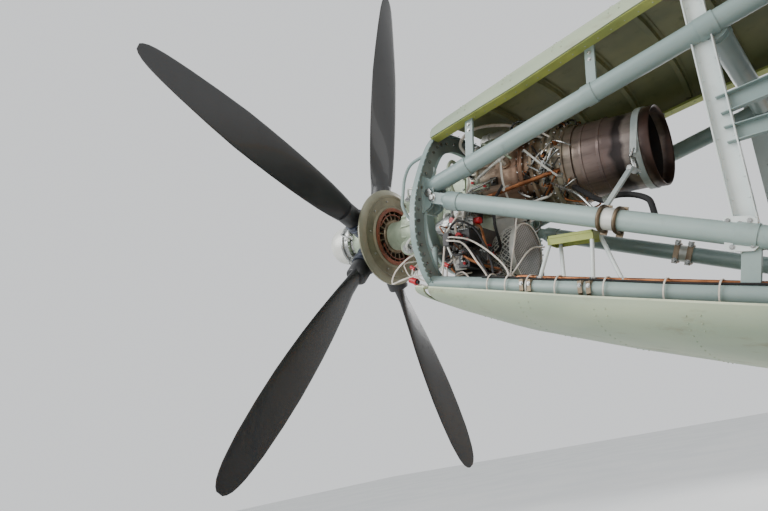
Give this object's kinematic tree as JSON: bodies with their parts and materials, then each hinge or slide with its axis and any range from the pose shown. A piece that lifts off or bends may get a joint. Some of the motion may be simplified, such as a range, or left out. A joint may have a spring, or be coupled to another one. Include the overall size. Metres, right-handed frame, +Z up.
{
  "type": "utility biplane",
  "caption": "Parked utility biplane: bare turboprop engine on a tube truss, hollow cockpit and cabin, strut-braced wings, moving control surfaces and a rolling tailwheel gear.",
  "frame": {"origin": "on the ground under the middle of the whole aircraft, as it stands parked on its three wheels", "axes": "+X to port along the span, -Y towards the nose, +Z up; the fuselage is pitched 12.5 degrees nose-up about X, as it parks"},
  "size_m": [18.18, 13.8352, 4.9015],
  "materials": {
    "primer_steel": "satin primer",
    "primer_cowl": "matt primer",
    "heat_steel": "heat-tinted",
    "accessory_metal": "satin",
    "bronze_plate": "satin",
    "black_blade": "matt",
    "duct": "satin",
    "grey_metal": "satin",
    "black_panel": "matt",
    "window_glass": "clear",
    "yellow_paint": "gloss",
    "blue_paint": "gloss",
    "tyre_rubber": "matt"
  },
  "bodies": {
    "airframe": {"nose_ring": "primer_steel", "cowl_upper": "primer_cowl", "cowl_lower": "primer_cowl", "truss_port": "primer_steel", "truss_starboard": "primer_steel", "engine_gearbox": "primer_steel", "engine_core": "heat_steel", "engine_exhaust": "heat_steel", "engine_accessories": "accessory_metal", "air_intake_duct": "duct", "firewall": "grey_metal", "canopy_glass": "window_glass", "canopy_frame": "yellow_paint", "fuselage_cockpit": "blue_paint", "fuselage_cabin": "yellow_paint", "upper_centre_section": "yellow_paint", "cabin_floor": "grey_metal", "pilot_seat_port": "grey_metal", "pilot_seat_starboard": "grey_metal", "instrument_panel": "black_panel", "upper_wing_port": "yellow_paint", "lower_wing_port": "yellow_paint", "lower_wing_stub_port": "blue_paint", "interplane_strut_port": "blue_paint", "bracing_port": "accessory_metal", "gear_leg_port": "blue_paint", "tailplane_port": "yellow_paint", "upper_wing_starboard": "yellow_paint", "lower_wing_starboard": "yellow_paint", "lower_wing_stub_starboard": "blue_paint", "interplane_strut_starboard": "blue_paint", "bracing_starboard": "accessory_metal", "gear_leg_starboard": "blue_paint", "tailplane_starboard": "yellow_paint", "fin": "yellow_paint", "boarding_step": "blue_paint", "fuselage_tail": "yellow_paint"},
    "propeller": {"propeller_hub": "accessory_metal", "propeller_backplate": "bronze_plate", "propeller_blade_1": "black_blade", "propeller_blade_2": "black_blade", "propeller_blade_3": "black_blade", "propeller_blade_4": "black_blade", "propeller_blade_5": "black_blade"},
    "tail_wheel_fork": {"tail_fork": "grey_metal"},
    "tail_wheel": {"tail_tyre": "tyre_rubber", "tail_rim": "grey_metal"},
    "rudder": {"rudder": "yellow_paint"},
    "elevator": {"elevator": "yellow_paint"},
    "passenger_door": {"passenger_door": "yellow_paint"},
    "main_wheel_port": {"main_tyre_port": "tyre_rubber", "main_rim_port": "grey_metal"},
    "main_wheel_starboard": {"main_tyre_starboard": "tyre_rubber", "main_rim_starboard": "grey_metal"},
    "aileron_port": {"aileron_port": "yellow_paint"},
    "flap_upper_port": {"flap_upper_port": "yellow_paint"},
    "flap_lower_port": {"flap_lower_port": "yellow_paint"},
    "aileron_starboard": {"aileron_starboard": "yellow_paint"},
    "flap_upper_starboard": {"flap_upper_starboard": "yellow_paint"},
    "flap_lower_starboard": {"flap_lower_starboard": "yellow_paint"}
  },
  "joints": [
    {"name": "propeller_spin", "type": "hinge", "parent": "airframe", "child": "propeller", "pos_m": [0, -6.54538, 3.14697], "axis": [0, -0.9763, 0.2164], "continuous": true},
    {"name": "main_wheel_port_roll", "type": "hinge", "parent": "airframe", "child": "main_wheel_port", "pos_m": [1.68, -3.48745, 0.4], "axis": [1, 0, 0], "continuous": true},
    {"name": "main_wheel_starboard_roll", "type": "hinge", "parent": "airframe", "child": "main_wheel_starboard", "pos_m": [-1.68, -3.48745, 0.4], "axis": [1, 0, 0], "continuous": true},
    {"name": "tail_fork_swivel", "type": "hinge", "parent": "airframe", "child": "tail_wheel_fork", "pos_m": [0, 4.63191, 0.505], "axis": [0, 0, 1], "continuous": true},
    {"name": "tail_wheel_roll", "type": "hinge", "parent": "tail_wheel_fork", "child": "tail_wheel", "pos_m": [0, 4.74191, 0.235], "axis": [1, 0, 0], "continuous": true},
    {"name": "rudder_hinge", "type": "hinge", "parent": "airframe", "child": "rudder", "pos_m": [0, 5.88029, 1.21169], "axis": [0, 0.2164, 0.9763], "range_deg": [-28, 28]},
    {"name": "elevator_hinge", "type": "hinge", "parent": "airframe", "child": "elevator", "pos_m": [0, 5.76313, 1.23766], "axis": [1, 0, 0], "range_deg": [-22.5, 42]},
    {"name": "passenger_door_hinge", "type": "hinge", "parent": "airframe", "child": "passenger_door", "pos_m": [0.8007, 1.67889, 1.41588], "axis": [0, 0.2164, 0.9763], "range_deg": [0, 100]},
    {"name": "aileron_port_hinge", "type": "hinge", "parent": "airframe", "child": "aileron_port", "pos_m": [6.4, -0.73187, 3.49673], "axis": [0.9986, 0.0113, 0.0511], "range_deg": [-22, 22]},
    {"name": "flap_upper_port_hinge", "type": "hinge", "parent": "airframe", "child": "flap_upper_port", "pos_m": [2.775, -0.77299, 3.31126], "axis": [0.9986, 0.0113, 0.0511], "range_deg": [-40, 0]},
    {"name": "flap_lower_port_hinge", "type": "hinge", "parent": "airframe", "child": "flap_lower_port", "pos_m": [4.075, -1.45907, 1.3716], "axis": [0.9973, 0.0159, 0.0715], "range_deg": [-40, 0]},
    {"name": "aileron_starboard_hinge", "type": "hinge", "parent": "airframe", "child": "aileron_starboard", "pos_m": [-6.4, -0.73187, 3.49673], "axis": [0.9986, -0.0113, -0.0511], "range_deg": [-22, 22]},
    {"name": "flap_upper_starboard_hinge", "type": "hinge", "parent": "airframe", "child": "flap_upper_starboard", "pos_m": [-2.775, -0.77299, 3.31126], "axis": [0.9986, -0.0113, -0.0511], "range_deg": [-40, 0]},
    {"name": "flap_lower_starboard_hinge", "type": "hinge", "parent": "airframe", "child": "flap_lower_starboard", "pos_m": [-4.075, -1.45907, 1.3716], "axis": [0.9973, -0.0159, -0.0715], "range_deg": [-40, 0]}
  ],
  "couplings": [
    {"joint": "aileron_starboard_hinge", "follows": "aileron_port_hinge", "ratio": -1},
    {"joint": "flap_upper_starboard_hinge", "follows": "flap_upper_port_hinge", "ratio": 1},
    {"joint": "flap_lower_port_hinge", "follows": "flap_upper_port_hinge", "ratio": 1},
    {"joint": "flap_lower_starboard_hinge", "follows": "flap_upper_port_hinge", "ratio": 1}
  ]
}
